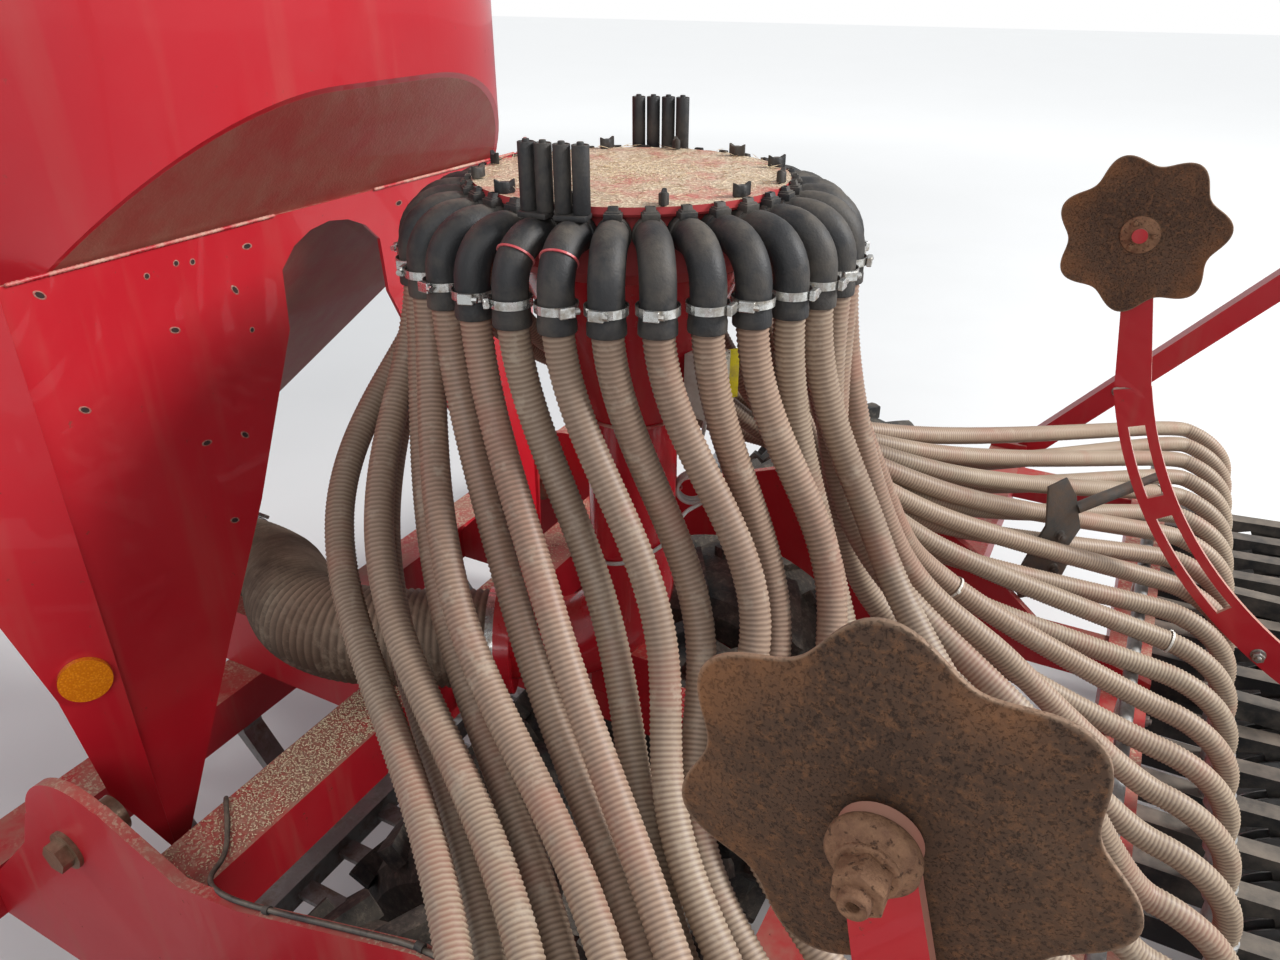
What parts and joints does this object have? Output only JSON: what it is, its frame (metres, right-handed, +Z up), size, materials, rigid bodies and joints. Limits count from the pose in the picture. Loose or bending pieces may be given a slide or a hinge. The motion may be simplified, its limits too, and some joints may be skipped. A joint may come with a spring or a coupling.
{
  "type": "trailed air seed drill",
  "caption": "Trailed air seed drill with seed hopper, distributor tower, packer tyres, disc coulters and folded marker arms, parked on its jack.",
  "frame": {"origin": "on the ground under the middle of the machine's length and width", "axes": "+X towards the rear, +Y to the machine's right, +Z up"},
  "size_m": [7.3, 4.3, 2.6603],
  "materials": {
    "red_paint": "faded gloss",
    "rim_paint": "dusty satin",
    "black_paint": "dusty satin",
    "galvanised": "dull zinc",
    "worn_steel": "worn",
    "disc_steel": "worn",
    "rusty_steel": "rusty",
    "tyre_rubber": "dusty",
    "black_rubber": "matte",
    "ribbed_hose": "dusty",
    "head_plastic": "faded",
    "black_plastic": "satin",
    "lamp_plastic": "gloss",
    "orange_plastic": "gloss"
  },
  "bodies": {
    "frame": {"main_frame": "red_paint", "drawbar": "red_paint", "hitch_ring": "galvanised", "jack_tube": "red_paint", "hopper_body": "red_paint", "hopper_funnel": "red_paint", "hopper_grid": "galvanised", "rear_legs": "red_paint", "front_legs": "red_paint", "leg_pins": "worn_steel", "platform": "galvanised", "ladder": "galvanised", "handrail": "galvanised", "metering_unit": "black_paint", "fan_housing": "red_paint", "fan_pipe": "galvanised", "air_duct": "ribbed_hose", "riser": "red_paint", "distributor_head": "head_plastic", "outlet_elbows": "black_rubber", "tramline_valves": "black_plastic", "seed_hoses": "ribbed_hose", "hose_rest": "galvanised", "rear_frame": "red_paint", "side_arm_left": "red_paint", "side_arm_right": "red_paint", "scrapers": "black_paint", "leveller": "black_paint", "coulter_arms": "black_paint", "seed_tubes": "galvanised", "harrow_beam": "black_paint", "harrow_arms": "black_paint", "harrow_tines": "black_paint", "tram_brackets": "red_paint", "side_brackets": "red_paint", "lamp_boards": "lamp_plastic", "side_reflectors": "orange_plastic"},
    "jack_foot": {"jack_leg": "galvanised"},
    "lid": {"hopper_lid": "red_paint"},
    "fan_rotor": {"fan_wheel": "galvanised"},
    "packer_left": {"rims_left": "rim_paint", "tyres_left": "tyre_rubber"},
    "packer_right": {"rims_right": "rim_paint", "tyres_right": "tyre_rubber"},
    "opener_set_left": {"openers_left": "disc_steel"},
    "opener_set_right": {"openers_right": "disc_steel"},
    "press_set_left": {"press_wheels_left": "black_rubber"},
    "press_set_right": {"press_wheels_right": "black_rubber"},
    "tram_marker_left": {"tram_arm_left": "red_paint"},
    "tram_marker_right": {"tram_arm_right": "red_paint"},
    "tram_blade_left": {"tram_disc_left": "rusty_steel"},
    "tram_blade_right": {"tram_disc_right": "rusty_steel"},
    "side_marker_left": {"side_arm_tube_left": "red_paint"},
    "side_marker_right": {"side_arm_tube_right": "red_paint"},
    "side_blade_left": {"side_disc_left": "rusty_steel"},
    "side_blade_right": {"side_disc_right": "rusty_steel"}
  },
  "joints": [
    {"name": "jack_slide", "type": "slide", "parent": "frame", "child": "jack_foot", "axis": [0, 0, 1], "range_m": [0, 0.3]},
    {"name": "lid_hinge", "type": "hinge", "parent": "frame", "child": "lid", "pos_m": [-0.15, 0.75, 2.63], "axis": [-1, 0, 0], "range_deg": [0, 100]},
    {"name": "fan_spin", "type": "hinge", "parent": "frame", "child": "fan_rotor", "pos_m": [-1.7, 0, 1.06], "axis": [0, 1, 0], "continuous": true},
    {"name": "packer_left_spin", "type": "hinge", "parent": "frame", "child": "packer_left", "pos_m": [1.37, -1, 0.38], "axis": [0, 1, 0], "continuous": true},
    {"name": "opener_left_spin", "type": "hinge", "parent": "frame", "child": "opener_set_left", "pos_m": [2.78, -1, 0.4], "axis": [0, 1, 0], "continuous": true},
    {"name": "press_left_spin", "type": "hinge", "parent": "frame", "child": "press_set_left", "pos_m": [3.15, -1, 0.41], "axis": [0, 1, 0], "continuous": true},
    {"name": "tram_marker_left_fold", "type": "hinge", "parent": "frame", "child": "tram_marker_left", "pos_m": [2.85, -0.8845, 0.7], "axis": [0, 1, 0], "range_deg": [0, 147]},
    {"name": "tram_blade_left_spin", "type": "hinge", "parent": "tram_marker_left", "child": "tram_blade_left", "pos_m": [2.11559, -0.8685, 1.66288], "axis": [0, 1, 0], "continuous": true},
    {"name": "side_marker_left_fold", "type": "hinge", "parent": "frame", "child": "side_marker_left", "pos_m": [1.9, -2.06, 0.59], "axis": [0.7478, 0, -0.6639], "range_deg": [0, 105]},
    {"name": "side_blade_left_spin", "type": "hinge", "parent": "side_marker_left", "child": "side_blade_left", "pos_m": [3.1349, -2.125, 1.9809], "axis": [0, 1, 0], "continuous": true},
    {"name": "packer_right_spin", "type": "hinge", "parent": "frame", "child": "packer_right", "pos_m": [1.37, 1, 0.38], "axis": [0, 1, 0], "continuous": true},
    {"name": "opener_right_spin", "type": "hinge", "parent": "frame", "child": "opener_set_right", "pos_m": [2.78, 1, 0.4], "axis": [0, 1, 0], "continuous": true},
    {"name": "press_right_spin", "type": "hinge", "parent": "frame", "child": "press_set_right", "pos_m": [3.15, 1, 0.41], "axis": [0, 1, 0], "continuous": true},
    {"name": "tram_marker_right_fold", "type": "hinge", "parent": "frame", "child": "tram_marker_right", "pos_m": [2.85, 0.8845, 0.7], "axis": [0, 1, 0], "range_deg": [0, 150]},
    {"name": "tram_blade_right_spin", "type": "hinge", "parent": "tram_marker_right", "child": "tram_blade_right", "pos_m": [2.167, 0.8685, 1.7], "axis": [0, 1, 0], "continuous": true},
    {"name": "side_marker_right_fold", "type": "hinge", "parent": "frame", "child": "side_marker_right", "pos_m": [1.9, 2.06, 0.59], "axis": [-0.7478, 0, 0.6639], "range_deg": [0, 105]},
    {"name": "side_blade_right_spin", "type": "hinge", "parent": "side_marker_right", "child": "side_blade_right", "pos_m": [3.1349, 2.125, 1.9809], "axis": [0, 1, 0], "continuous": true}
  ]
}
